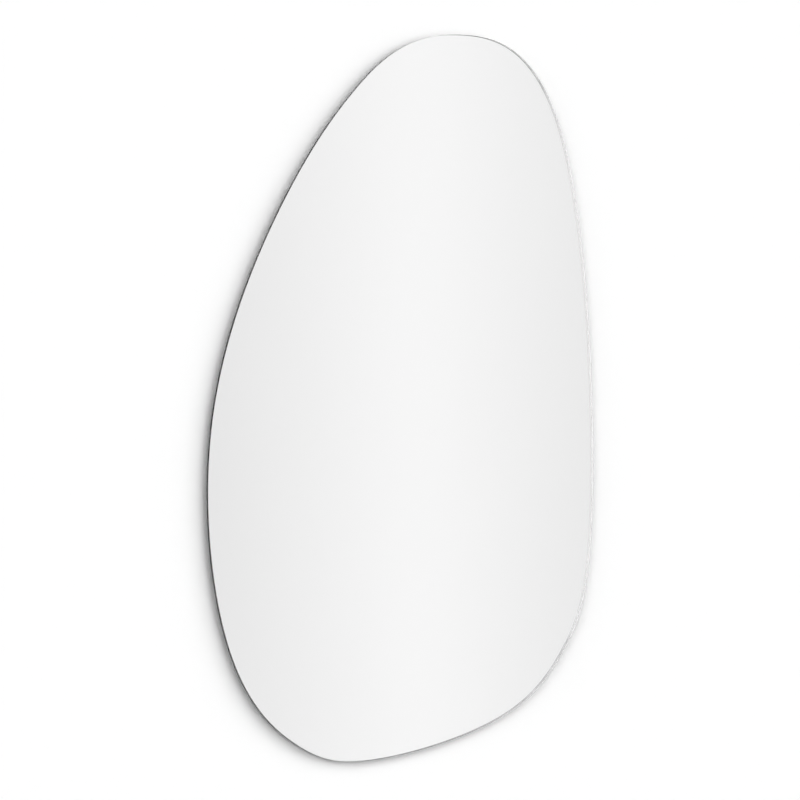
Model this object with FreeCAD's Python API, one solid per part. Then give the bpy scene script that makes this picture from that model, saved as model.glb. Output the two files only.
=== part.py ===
import FreeCAD, Part
import math
import os

# A frameless wall mirror with an irregular, pebble-like outline.
# Millimetres. +Z is up, -Y points out into the room and the wall is the plane y = 0.
# The origin lies on the wall, midway between the axes of the two wall screws.
# Left and right are as seen from the room.

# glass and the layers on its back
glass_width = 500.0
glass_height = 800.0
glass_thickness = 4.0
arris = 0.2  # polished 45 degree arris round both faces of the glass
silver_thickness = 0.05
paint_thickness = 0.10
coating_margin = 0.1  # silver and paint stop this far inside the rear arris
film_thickness = 0.20
film_margin = 3.0  # the film is trimmed this far inside the paint

# the outline's control points, anticlockwise, as shares of half the width and half the height
outline_controls = [
    (-0.945, -0.755),
    (-0.555, -0.965),
    (-0.255, -1.025),
    (0.580, -0.920),
    (0.850, -0.730),
    (1.055, -0.490),
    (0.925, 0.955),
    (0.250, 1.020),
    (-0.060, 0.955),
    (-0.275, 0.835),
    (-0.615, 0.570),
    (-1.075, -0.040),
]
outline_places = 72  # evenly spaced, where the outline is set in for the layers
fitting_rounds = 20
fine_places = 2000  # for finding the outline's widest and tallest places

# where the mirror hangs and where it leans
hanger_spacing = 180.0
hang_below_top = 220.0
spacer_spacing = 200.0
spacer_above_bottom = 150.0

# hanger plate, cut and pressed from one sheet
sheet = 1.2
plate_width = 60.0
plate_height = 60.0
plate_above_hook = 24.0  # from the hook edge up to the plate's top edge
plate_corner = 6.0
bridge_height = 10.0
bridge_width = 32.0  # clear width between the legs, beside the roller
leg_run = 3.5  # how far each leg slants sideways
foot_lap = 2.4  # how far the pressed strip runs on into the plate
bend_inside = 0.5
key_hole_radius = 2.5  # adhesive keys through these
key_hole_inset = 9.0

# adhesive foam pad under each hanger plate
pad_thickness = 1.1
pad_inset = 1.5
pad_window_margin = 1.0

# eccentric roller that carries the hook edge
flange_radius = 10.0
flange_chamfer = 0.5
front_flange = 2.4
groove_radius = 7.0
hex_across_flats = 17.0
hex_thickness = 2.2
eccentricity = 2.0

# wall screw
screw_radius = 2.25
screw_length = 50.0
screw_tip = 5.0
screw_tip_radius = 0.4
head_radius = 4.4
head_recess = 0.1  # the head lies this far below the roller's front face
cross_length = 4.6
cross_width = 0.9
cross_depth = 1.5

# washer between roller and wall
washer_radius = 7.0
washer_thickness = 1.0

# wall plug
plug_radius = 4.0
plug_length = 40.0
plug_collar = 14.0  # plain stretch at the mouth
plug_teeth = 6
tooth_depth = 0.5
plug_slit = 1.2
plug_end_ring = 2.0  # left whole at the inner end

# rubber spacer and its adhesive disc
spacer_radius = 9.0
spacer_tip_radius = 7.5
spacer_round = 1.0
disc_radius = 8.5
disc_thickness = 0.5

# clearances
groove_clearance = 0.3  # each side of the hook edge in the roller's groove
seat_clearance = 0.3  # under the hook edge
plate_clearance = 0.6  # between the roller and the plate in front of it
running_clearance = 0.08  # roller round the screw
countersink_clearance = 0.2  # roller round the screw head
thread_clearance = 0.1  # washer and plug round the screw

# distances off the wall
roller_rear = washer_thickness
groove_rear = roller_rear + hex_thickness
bridge_rear = groove_rear + groove_clearance
bridge_front = bridge_rear + sheet
groove_front = bridge_front + groove_clearance
roller_front = groove_front + front_flange
plate_rear = roller_front + plate_clearance
plate_front = plate_rear + sheet
film_rear = plate_front + pad_thickness
paint_rear = film_rear + film_thickness
silver_rear = paint_rear + paint_thickness
glass_rear = silver_rear + silver_thickness
glass_front = glass_rear + glass_thickness

# heights, from the screw axes
hook_edge = eccentricity + groove_radius + seat_clearance
plate_top = hook_edge + plate_above_hook
plate_bottom = plate_top - plate_height
glass_middle = hang_below_top - glass_height / 2
spacer_middle = hang_below_top - glass_height + spacer_above_bottom

up = FreeCAD.Vector(0, 0, 1)
off_wall = FreeCAD.Vector(0, -1, 0)


def at(x, off, z):
    # a point from its place across, its distance off the wall and its height
    return FreeCAD.Vector(x, -off, z)


def disc(x, z, radius, rear, thickness):
    return Part.makeCylinder(radius, thickness, at(x, rear, z), off_wall)


def block(x_low, x_high, rear, front, z_low, z_high):
    return Part.makeBox(x_high - x_low, front - rear, z_high - z_low, at(x_low, front, z_low))


def turned(x, z, profile):
    # a solid of revolution about an axis square to the wall, from (radius, off) corners
    corners = [at(x + radius, off, z) for radius, off in profile]
    face = Part.Face(Part.makePolygon(corners + corners[:1]))
    return face.revolve(at(x, 0, z), off_wall, 360)


def rounded_plate(x, rear, front, inset):
    # a hanger plate's outline, set in by a margin and with round corners
    half = plate_width / 2 - inset
    plate = block(x - half, x + half, rear, front, plate_bottom + inset, plate_top - inset)
    return plate.makeFillet(plate_corner - inset, lines_along(plate, off_wall))


def lines_along(solid, direction):
    straight = [edge for edge in solid.Edges if isinstance(edge.Curve, Part.Line)]
    return [edge for edge in straight if abs(edge.Curve.Direction.dot(direction)) > 0.999]


def drawn_curve(controls):
    # a closed cubic B-spline with even knots, which is smooth all round
    knots = list(range(len(controls) + 1))
    curve = Part.BSplineCurve()
    curve.buildFromPolesMultsKnots(controls, [1] * len(knots), knots, True, 3)
    return curve


def controls_through(points):
    # control points whose curve passes through evenly spaced points
    controls = list(points)
    for _ in range(fitting_rounds):
        before = controls[-1:] + controls[:-1]
        after = controls[1:] + controls[:1]
        controls = [
            control + point - (low + control * 4 + high) / 6
            for control, point, low, high in zip(controls, points, before, after)
        ]
    return controls


def full_size_controls():
    # the outline's control points, stretched to the glass's size about its middle
    controls = [at(x * glass_width / 2, 0, z * glass_height / 2) for x, z in outline_controls]
    fine = drawn_curve(controls).toShape().discretize(Number=fine_places)
    low = at(min(point.x for point in fine), 0, min(point.z for point in fine))
    high = at(max(point.x for point in fine), 0, max(point.z for point in fine))
    middle = (low + high) / 2
    stretch_x = glass_width / (high.x - low.x)
    stretch_z = glass_height / (high.z - low.z)
    return [at((point.x - middle.x) * stretch_x, 0, (point.z - middle.z) * stretch_z) for point in controls]


def outline_wire(inset, off):
    # the glass's weight acts midway between the wall screws, so the mirror hangs level
    controls = full_size_controls()
    curve = drawn_curve(controls)
    edge = curve.toShape()
    balance = Part.Face(Part.Wire(edge)).CenterOfMass.x
    if inset:
        set_in = []
        for point in edge.discretize(Number=outline_places + 1)[:-1]:
            along = curve.tangent(curve.parameter(point))[0]
            set_in.append(point + at(-along.z, 0, along.x) * inset)
        controls = controls_through(set_in)
    shift = at(-balance, off, glass_middle)
    return Part.Wire(drawn_curve([control + shift for control in controls]).toShape())


def layer(inset, rear, thickness):
    return Part.Face(outline_wire(inset, rear)).extrude(off_wall * thickness)


def mirror_glass():
    pane = layer(0, glass_rear, glass_thickness)
    rims = [edge for edge in pane.Edges if edge.Closed]
    return pane.makeChamfer(arris, rims)


def silver_layer():
    return layer(arris + coating_margin, silver_rear, silver_thickness)


def back_paint():
    return layer(arris + coating_margin, paint_rear, paint_thickness)


def safety_film():
    return layer(arris + coating_margin + film_margin, film_rear, film_thickness)


def bridge(x):
    # the strip pressed out towards the wall: its lower edge is the hook edge
    lean = math.atan2(leg_run, plate_rear - bridge_rear)
    mitre = sheet * math.tan((math.pi / 2 - lean) / 2)
    inner = bridge_width / 2
    outer = inner + leg_run
    half = [
        (inner, bridge_front),
        (outer, plate_front),
        (outer + foot_lap, plate_front),
        (outer + foot_lap, plate_rear),
        (outer + mitre, plate_rear),
        (inner + mitre, bridge_rear),
    ]
    loop = half + [(-across, off) for across, off in reversed(half)]
    corners = [at(x + across, off, hook_edge) for across, off in loop]
    strip = Part.Face(Part.makePolygon(corners + corners[:1])).extrude(up * bridge_height)
    for off, bend in ((bridge_front, bend_inside), (bridge_rear, bend_inside + sheet)):
        folds = [edge for edge in lines_along(strip, up) if abs(edge.CenterOfMass.y + off) < sheet / 4]
        strip = strip.makeFillet(bend, folds)
    return strip


def hanger_plate(x):
    window = bridge_width / 2 + leg_run
    plate = rounded_plate(x, plate_rear, plate_front, 0)
    strip_top = hook_edge + bridge_height
    plate = plate.cut(block(x - window, x + window, plate_rear, plate_front, hook_edge, strip_top))
    for across in (key_hole_inset - plate_width / 2, plate_width / 2 - key_hole_inset):
        for z in (plate_bottom + key_hole_inset, plate_top - key_hole_inset):
            plate = plate.cut(disc(x + across, z, key_hole_radius, plate_rear, sheet))
    return plate.fuse(bridge(x)).removeSplitter()


def adhesive_pad(x):
    window = bridge_width / 2 + leg_run + pad_window_margin
    low = hook_edge - pad_window_margin
    high = hook_edge + bridge_height + pad_window_margin
    pad = rounded_plate(x, plate_front, film_rear, pad_inset)
    return pad.cut(block(x - window, x + window, plate_front, film_rear, low, high))


def spacer_disc(x):
    return disc(x, spacer_middle, disc_radius, film_rear - disc_thickness, disc_thickness)


def rubber_spacer(x):
    front = film_rear - disc_thickness
    profile = [(0, 0), (spacer_tip_radius, 0), (spacer_radius, front), (0, front)]
    body = turned(x, spacer_middle, profile)
    tip = [edge for edge in body.Edges if edge.Closed and abs(edge.CenterOfMass.y) < spacer_round]
    return body.makeFillet(spacer_round, tip)


def wall_screw(x):
    head_front = roller_front - head_recess
    cone = head_radius - screw_radius  # a 90 degree countersunk head
    tip = head_front - screw_length
    profile = [
        (0, head_front),
        (head_radius, head_front),
        (screw_radius, head_front - cone),
        (screw_radius, tip + screw_tip),
        (screw_tip_radius, tip),
        (0, tip),
    ]
    screw = turned(x, 0, profile)
    low = head_front - cross_depth
    for half_x, half_z in ((cross_length / 2, cross_width / 2), (cross_width / 2, cross_length / 2)):
        screw = screw.cut(block(x - half_x, x + half_x, low, head_front, -half_z, half_z))
    return screw


def eccentric_roller(x):
    # resting with its thick side up, so that any turn lets the hook edge down
    middle = eccentricity
    hex_radius = hex_across_flats / 2 / math.cos(math.pi / 6)
    corners = []
    for corner in range(6):
        turn = corner * math.pi / 3
        across = hex_radius * math.cos(turn)
        corners.append(at(x + across, roller_rear, middle + hex_radius * math.sin(turn)))
    hexagon = Part.Face(Part.makePolygon(corners + corners[:1])).extrude(off_wall * hex_thickness)
    profile = [
        (0, groove_rear),
        (groove_radius, groove_rear),
        (groove_radius, groove_front),
        (flange_radius - flange_chamfer, groove_front),
        (flange_radius, groove_front + flange_chamfer),
        (flange_radius, roller_front - flange_chamfer),
        (flange_radius - flange_chamfer, roller_front),
        (0, roller_front),
    ]
    roller = hexagon.fuse(turned(x, middle, profile))
    bore = screw_radius + running_clearance
    sink = head_radius + countersink_clearance
    hole = [
        (0, roller_rear),
        (bore, roller_rear),
        (bore, roller_front - (sink - bore)),
        (sink, roller_front),
        (0, roller_front),
    ]
    return roller.cut(turned(x, 0, hole)).removeSplitter()


def washer(x):
    hole = disc(x, 0, screw_radius + thread_clearance, 0, washer_thickness)
    return disc(x, 0, washer_radius, 0, washer_thickness).cut(hole)


def wall_plug(x):
    # plain at the mouth, then saw teeth, split lengthways so that the screw spreads it
    profile = [(0, 0), (plug_radius, 0), (plug_radius, -plug_collar)]
    pitch = (plug_length - plug_collar) / plug_teeth
    for tooth in range(plug_teeth):
        root = -plug_collar - tooth * pitch
        profile.append((plug_radius - tooth_depth, root))
        profile.append((plug_radius, root - pitch))
    profile.append((0, -plug_length))
    plug = turned(x, 0, profile)
    plug = plug.cut(disc(x, 0, screw_radius + thread_clearance, -plug_length, plug_length))
    half = plug_slit / 2
    slit_end = plug_end_ring - plug_length
    return plug.cut(block(x - plug_radius, x + plug_radius, slit_end, -plug_collar, -half, half))


def write(name, shape):
    shape.exportStep("parts/" + name + ".step")
    print(name, len(shape.Solids), shape.isValid(), round(shape.Volume, 1))


os.makedirs("parts", exist_ok=True)
for layer_maker in (mirror_glass, silver_layer, back_paint, safety_film):
    write(layer_maker.__name__, layer_maker())
for side, sign in (("left", -1), ("right", 1)):
    hanger_x = sign * hanger_spacing / 2
    spacer_x = sign * spacer_spacing / 2
    for maker in (hanger_plate, adhesive_pad, wall_screw, eccentric_roller, washer, wall_plug):
        write(side + "_" + maker.__name__, maker(hanger_x))
    for maker in (rubber_spacer, spacer_disc):
        write(side + "_" + maker.__name__, maker(spacer_x))
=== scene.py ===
import math

import bpy
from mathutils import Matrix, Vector


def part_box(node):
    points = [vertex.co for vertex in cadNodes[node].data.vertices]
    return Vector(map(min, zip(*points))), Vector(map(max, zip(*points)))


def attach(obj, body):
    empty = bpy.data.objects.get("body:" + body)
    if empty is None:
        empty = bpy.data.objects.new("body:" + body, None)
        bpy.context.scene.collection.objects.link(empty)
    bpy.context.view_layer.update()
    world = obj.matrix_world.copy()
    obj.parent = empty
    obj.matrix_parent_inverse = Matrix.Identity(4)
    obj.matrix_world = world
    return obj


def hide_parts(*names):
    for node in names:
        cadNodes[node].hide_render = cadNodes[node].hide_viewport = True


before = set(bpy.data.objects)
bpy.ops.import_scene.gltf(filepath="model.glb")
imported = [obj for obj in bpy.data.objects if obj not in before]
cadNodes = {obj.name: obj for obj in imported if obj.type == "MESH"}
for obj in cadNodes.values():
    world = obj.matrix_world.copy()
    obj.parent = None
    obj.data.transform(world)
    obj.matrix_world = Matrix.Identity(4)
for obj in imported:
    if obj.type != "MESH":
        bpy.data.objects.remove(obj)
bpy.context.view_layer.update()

bpy.ops.object.select_all(action="DESELECT")
print("frame loaded")


# the camera is level and stands to the left of the mirror
cameraView = {
    "turn": 32.163,  # degrees from the mirror's own axis
    "distance": 3.5,
    "lens": 143.445,
    "aimAcross": -0.022674,  # where the middle of the picture meets the glass
    "aimUp": -0.186122,
    "glassFront": -0.01465,
}


def makeCamera(values):
    turn = math.radians(values["turn"])
    ahead = Vector((math.sin(turn), math.cos(turn), 0))
    aim = Vector((values["aimAcross"], values["glassFront"], values["aimUp"]))
    place = aim - ahead * values["distance"]
    bpy.ops.object.camera_add(location=place, rotation=(math.pi / 2, 0, -turn))
    camera = bpy.context.object
    camera.name = "mainCamera"
    camera.data.lens = values["lens"]
    camera.data.sensor_width = 36
    bpy.context.scene.camera = camera


def newMaterial(name):
    material = bpy.data.materials.new(name)
    material.use_nodes = True
    tree = material.node_tree
    surface = tree.nodes["Principled BSDF"]
    return material, tree, surface


def newNode(tree, kind):
    return tree.nodes.new("ShaderNode" + kind)


def calc(tree, kind, *values):
    node = newNode(tree, "Math")
    node.operation = kind
    for place, value in enumerate(values):
        if isinstance(value, (int, float)):
            node.inputs[place].default_value = value
        else:
            tree.links.new(value, node.inputs[place])
    return node.outputs[0]


def selectOnly(piece):
    bpy.ops.object.select_all(action="DESELECT")
    piece.select_set(True)
    bpy.context.view_layer.objects.active = piece


def selectAll():
    bpy.ops.mesh.select_all(action="SELECT")


def applyModifier(piece, kind, **settings):
    selectOnly(piece)
    modifier = piece.modifiers.new(kind.lower(), kind)
    for key, value in settings.items():
        setattr(modifier, key, value)
    bpy.ops.object.modifier_apply(modifier=modifier.name)


def noiseValue(tree, vector, scale, detail=3.0, roughness=0.55):
    node = newNode(tree, "TexNoise")
    node.inputs["Scale"].default_value = scale
    node.inputs["Detail"].default_value = detail
    node.inputs["Roughness"].default_value = roughness
    tree.links.new(vector, node.inputs["Vector"])
    return node.outputs["Fac"]


def spread(tree, value, fromLow, fromHigh, toLow, toHigh):
    node = newNode(tree, "MapRange")
    tree.links.new(value, node.inputs["Value"])
    ends = (("From Min", fromLow), ("From Max", fromHigh), ("To Min", toLow), ("To Max", toHigh))
    for name, end in ends:
        if isinstance(end, (int, float)):
            node.inputs[name].default_value = end
        else:
            tree.links.new(end, node.inputs[name])
    return node.outputs["Result"]


def mixColour(tree, amount, first, second):
    node = newNode(tree, "Mix")
    node.data_type = "RGBA"
    tree.links.new(amount, node.inputs[0])
    for place, colour in ((6, first), (7, second)):
        if isinstance(colour, tuple):
            node.inputs[place].default_value = (*colour, 1)
        else:
            tree.links.new(colour, node.inputs[place])
    return node.outputs[2]


def objectPlace(tree, stretch=(1, 1, 1)):
    coordinates = newNode(tree, "TexCoord")
    mapping = newNode(tree, "Mapping")
    mapping.inputs["Scale"].default_value = stretch
    tree.links.new(coordinates.outputs["Object"], mapping.inputs["Vector"])
    return mapping.outputs["Vector"]


def splitPlace(tree, vector):
    node = newNode(tree, "SeparateXYZ")
    tree.links.new(vector, node.inputs[0])
    return node.outputs


def bumpFrom(tree, surface, heights):
    # heights: (value, strength, real height in metres), each laid over the one before
    normal = None
    for value, strength, height in heights:
        node = newNode(tree, "Bump")
        node.inputs["Strength"].default_value = strength
        node.inputs["Distance"].default_value = height
        tree.links.new(value, node.inputs["Height"])
        if normal:
            tree.links.new(normal, node.inputs["Normal"])
        normal = node.outputs["Normal"]
    tree.links.new(normal, surface.inputs["Normal"])


def newGroup(name, inputs, outputs):
    group = bpy.data.node_groups.new(name, "ShaderNodeTree")
    for label, kind, value in inputs:
        socket = group.interface.new_socket(label, in_out="INPUT", socket_type=kind)
        if value is not None:
            socket.default_value = value
    for label in outputs:
        group.interface.new_socket(label, in_out="OUTPUT", socket_type="NodeSocketFloat")
    return group, group.nodes.new("NodeGroupInput").outputs, group.nodes.new("NodeGroupOutput").inputs


def makeEdgeWear():
    # how far a point has been rubbed bright, along edges and in patches
    group, given, result = newGroup("edgeWear", [
        ("Place", "NodeSocketVector", None),
        ("Radius", "NodeSocketFloat", 0.0004),
        ("Patches", "NodeSocketFloat", 300.0),
    ], ["Mask"])
    edge = group.nodes.new("ShaderNodeBevel")
    edge.samples = 4
    group.links.new(given["Radius"], edge.inputs["Radius"])
    geometry = group.nodes.new("ShaderNodeNewGeometry")
    facing = group.nodes.new("ShaderNodeVectorMath")
    facing.operation = "DOT_PRODUCT"
    group.links.new(edge.outputs["Normal"], facing.inputs[0])
    group.links.new(geometry.outputs["Normal"], facing.inputs[1])
    turned = spread(group, facing.outputs["Value"], 1.0, 0.9, 0.0, 1.0)
    patches = noiseValue(group, given["Place"], 1.0, 4.0)
    group.links.new(given["Patches"], patches.node.inputs["Scale"])
    broken = spread(group, patches, 0.35, 0.6, 0.25, 1.0)
    group.links.new(calc(group, "MULTIPLY", turned, broken), result["Mask"])
    return group


def makeTone():
    # slow cloudy change of tone with a finer one over it
    group, given, result = newGroup("cloudyTone", [
        ("Place", "NodeSocketVector", None),
        ("Scale", "NodeSocketFloat", 50.0),
        ("Fine Scale", "NodeSocketFloat", 600.0),
        ("Fine Share", "NodeSocketFloat", 0.3),
    ], ["Tone"])
    slow = noiseValue(group, given["Place"], 1.0, 3.0)
    group.links.new(given["Scale"], slow.node.inputs["Scale"])
    fine = noiseValue(group, given["Place"], 1.0, 2.0)
    group.links.new(given["Fine Scale"], fine.node.inputs["Scale"])
    slow = spread(group, slow, 0.3, 0.7, 0.0, 1.0)
    fine = calc(group, "MULTIPLY", calc(group, "SUBTRACT", fine, 0.5), given["Fine Share"])
    group.links.new(calc(group, "ADD", slow, fine), result["Tone"])
    return group


def makeScratches():
    # thin lines in two directions, each broken up along its length
    group, given, result = newGroup("fineScratches", [
        ("Place", "NodeSocketVector", None),
        ("Scale", "NodeSocketFloat", 60.0),
        ("Amount", "NodeSocketFloat", 0.5),
    ], ["Mask"])
    total = None
    for turn in (0.5, -1.0):
        mapping = group.nodes.new("ShaderNodeMapping")
        mapping.vector_type = "TEXTURE"  # turned first, then stretched
        mapping.inputs["Rotation"].default_value = (0, turn, 0)
        mapping.inputs["Scale"].default_value = (1, 1, 28)
        group.links.new(given["Place"], mapping.inputs["Vector"])
        lines = noiseValue(group, mapping.outputs["Vector"], 1.0, 1.0)
        group.links.new(given["Scale"], lines.node.inputs["Scale"])
        crossing = calc(group, "ABSOLUTE", calc(group, "SUBTRACT", lines, 0.5))
        thin = spread(group, crossing, 0.012, 0.0, 0.0, 1.0)
        breaks = spread(group, noiseValue(group, given["Place"], 38.0, 2.0), 0.52, 0.62, 0.0, 1.0)
        one = calc(group, "MULTIPLY", thin, breaks)
        total = one if total is None else calc(group, "MAXIMUM", total, one)
    group.links.new(calc(group, "MULTIPLY", total, given["Amount"]), result["Mask"])
    return group


def makeDust():
    # dust that has settled on what faces up
    group, given, result = newGroup("settledDust", [
        ("Place", "NodeSocketVector", None),
        ("Amount", "NodeSocketFloat", 0.3),
    ], ["Mask"])
    geometry = group.nodes.new("ShaderNodeNewGeometry")
    upward = splitPlace(group, geometry.outputs["Normal"])["Z"]
    lying = spread(group, upward, 0.1, 0.9, 0.08, 1.0)
    specks = spread(group, noiseValue(group, given["Place"], 900.0, 3.0), 0.4, 0.65, 0.0, 1.0)
    group.links.new(calc(group, "MULTIPLY", calc(group, "MULTIPLY", lying, specks), given["Amount"]),
                    result["Mask"])
    return group


edgeWear, cloudyTone = makeEdgeWear(), makeTone()
fineScratches, settledDust = makeScratches(), makeDust()
print("shared effects ready")


def useGroup(tree, group, place, **values):
    node = newNode(tree, "Group")
    node.node_tree = group
    tree.links.new(place, node.inputs["Place"])
    for name, value in values.items():
        node.inputs[name.replace("_", " ")].default_value = value
    return node.outputs[0]


def clearGlass():
    # flawless on both faces, with a machine-polished edge
    material, tree, surface = newMaterial("clearGlass")
    surface.inputs["Base Color"].default_value = (0.985, 0.99, 0.988, 1)
    surface.inputs["IOR"].default_value = 1.52
    surface.inputs["Transmission Weight"].default_value = 1.0
    geometry = newNode(tree, "NewGeometry")
    sideways = calc(tree, "ABSOLUTE", splitPlace(tree, geometry.outputs["Normal"])["Y"])
    edge = spread(tree, sideways, 0.9, 0.6, 0.0, 1.0)
    polish = spread(tree, noiseValue(tree, objectPlace(tree, (1, 6, 1)), 250.0, 4.0), 0.35, 0.7, 0.0, 0.06)
    tree.links.new(calc(tree, "MULTIPLY", edge, polish), surface.inputs["Roughness"])
    grind = noiseValue(tree, objectPlace(tree, (40, 2500, 40)), 1.0, 2.0)
    bumpFrom(tree, surface, [(calc(tree, "MULTIPLY", edge, grind), 0.15, 0.000004)])
    return material


def silver():
    material, tree, surface = newMaterial("silver")
    place = objectPlace(tree)
    tone = useGroup(tree, cloudyTone, place, Scale=9.0, Fine_Scale=80.0, Fine_Share=0.2)
    colour = mixColour(tree, tone, (0.953, 0.948, 0.950), (0.957, 0.952, 0.954))
    tree.links.new(colour, surface.inputs["Base Color"])
    surface.inputs["Metallic"].default_value = 1.0
    tree.links.new(spread(tree, tone, 0.0, 1.0, 0.0, 0.004), surface.inputs["Roughness"])
    return material


def backPaint():
    # grey protective paint, curtain coated: a faint peel, pale scuffs from stacking and some dust
    material, tree, surface = newMaterial("backPaint")
    place = objectPlace(tree)
    tone = useGroup(tree, cloudyTone, place, Scale=14.0, Fine_Scale=900.0, Fine_Share=0.35)
    scuffs = useGroup(tree, fineScratches, place, Scale=140.0, Amount=0.5)
    dust = useGroup(tree, settledDust, place, Amount=0.9)
    colour = mixColour(tree, tone, (0.315, 0.352, 0.372), (0.375, 0.412, 0.430))
    colour = mixColour(tree, scuffs, colour, (0.56, 0.58, 0.59))
    colour = mixColour(tree, dust, colour, (0.60, 0.59, 0.57))
    tree.links.new(colour, surface.inputs["Base Color"])
    tree.links.new(spread(tree, tone, 0.0, 1.0, 0.36, 0.52), surface.inputs["Roughness"])
    peel = noiseValue(tree, place, 420.0, 2.0)
    fineGrain = noiseValue(tree, place, 2600.0, 2.0)
    bumpFrom(tree, surface, [(peel, 0.5, 0.00006), (fineGrain, 0.4, 0.00001), (scuffs, 0.5, 0.00003)])
    return material


filmWeave = {
    "pitch": 0.0024,  # from one woven tape to the next
    "tapeHeight": 0.00006,
    "wrinkleHeight": 0.0006,
    "blisterHeight": 0.0005,
}


def safetyFilm(values):
    # film with a woven tape scrim inside it, laid on by hand: wrinkles, creases and small blisters
    material, tree, surface = newMaterial("safetyFilm")
    place = objectPlace(tree)
    sides = splitPlace(tree, place)
    waves, counts = [], []
    for axis in ("X", "Z"):
        along = calc(tree, "DIVIDE", sides[axis], values["pitch"])
        waves.append(calc(tree, "ABSOLUTE", calc(tree, "SINE", calc(tree, "MULTIPLY", along, math.pi))))
        counts.append(calc(tree, "FLOOR", along))
    over = calc(tree, "FLOORED_MODULO", calc(tree, "ADD", counts[0], counts[1]), 2.0)
    under = calc(tree, "SUBTRACT", 1.0, over)
    weave = calc(tree, "ADD", calc(tree, "MULTIPLY", waves[0], over), calc(tree, "MULTIPLY", waves[1], under))
    tone = useGroup(tree, cloudyTone, place, Scale=7.0, Fine_Scale=260.0, Fine_Share=0.3)
    rubbed = useGroup(tree, fineScratches, place, Scale=120.0, Amount=0.4)
    wrinkles = noiseValue(tree, objectPlace(tree, (1.0, 1.0, 0.28)), 26.0, 3.0, 0.5)
    creased = calc(tree, "ABSOLUTE", calc(tree, "SUBTRACT", wrinkles, 0.5))
    creased = spread(tree, creased, 0.0, 0.05, 1.0, 0.0)
    few = spread(tree, noiseValue(tree, place, 8.0, 2.0), 0.5, 0.62, 0.0, 1.0)
    creased = calc(tree, "MULTIPLY", creased, few)
    cells = newNode(tree, "TexVoronoi")
    cells.inputs["Scale"].default_value = 48.0
    tree.links.new(place, cells.inputs["Vector"])
    blister = spread(tree, cells.outputs["Distance"], 0.0, 0.22, 1.0, 0.0)
    seldom = spread(tree, noiseValue(tree, place, 21.0, 1.0), 0.6, 0.64, 0.0, 1.0)
    blister = calc(tree, "MULTIPLY", blister, seldom)
    colour = mixColour(tree, tone, (0.350, 0.395, 0.420), (0.440, 0.480, 0.500))
    colour = mixColour(tree, spread(tree, weave, 0.0, 0.35, 0.5, 0.0), colour, (0.22, 0.26, 0.28))
    colour = mixColour(tree, calc(tree, "MAXIMUM", rubbed, calc(tree, "MULTIPLY", creased, 0.1)),
                       colour, (0.58, 0.61, 0.62))
    tree.links.new(colour, surface.inputs["Base Color"])
    rough = calc(tree, "ADD", spread(tree, tone, 0.0, 1.0, 0.30, 0.42), calc(tree, "MULTIPLY", rubbed, 0.2))
    tree.links.new(rough, surface.inputs["Roughness"])
    bumpFrom(tree, surface, [
        (creased, 0.6, values["wrinkleHeight"]),
        (blister, 0.7, values["blisterHeight"]),
        (weave, 0.6, values["tapeHeight"]),
    ])
    return material


def zincSheet():
    # cold-rolled sheet, zinc plated after pressing: rolling lines, clouded passivation, bright edges
    material, tree, surface = newMaterial("zincSheet")
    place = objectPlace(tree)
    tone = useGroup(tree, cloudyTone, place, Scale=70.0, Fine_Scale=900.0, Fine_Share=0.4)
    worn = useGroup(tree, edgeWear, place, Radius=0.0005, Patches=260.0)
    marks = useGroup(tree, fineScratches, place, Scale=420.0, Amount=0.35)
    dust = useGroup(tree, settledDust, place, Amount=0.35)
    rolling = noiseValue(tree, objectPlace(tree, (3200, 3200, 45)), 1.0, 3.0)
    colour = mixColour(tree, tone, (0.575, 0.590, 0.620), (0.700, 0.690, 0.650))
    colour = mixColour(tree, calc(tree, "MAXIMUM", worn, marks), colour, (0.86, 0.86, 0.85))
    colour = mixColour(tree, dust, colour, (0.50, 0.49, 0.47))
    tree.links.new(colour, surface.inputs["Base Color"])
    surface.inputs["Metallic"].default_value = 1.0
    rough = calc(tree, "ADD", spread(tree, rolling, 0.3, 0.7, 0.24, 0.40), calc(tree, "MULTIPLY", tone, 0.08))
    rough = calc(tree, "SUBTRACT", rough, calc(tree, "MULTIPLY", worn, 0.12))
    rough = calc(tree, "ADD", rough, calc(tree, "MULTIPLY", dust, 0.5))
    tree.links.new(rough, surface.inputs["Roughness"])
    bumpFrom(tree, surface, [(tone, 0.25, 0.00005), (rolling, 0.35, 0.000008), (marks, 0.5, 0.00002)])
    return material


turnedFinish = {
    "hangerAcross": 0.09,  # the screws' axes, left and right of the middle
    "feed": 0.00018,  # the lathe tool moves this far in a turn
}


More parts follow.
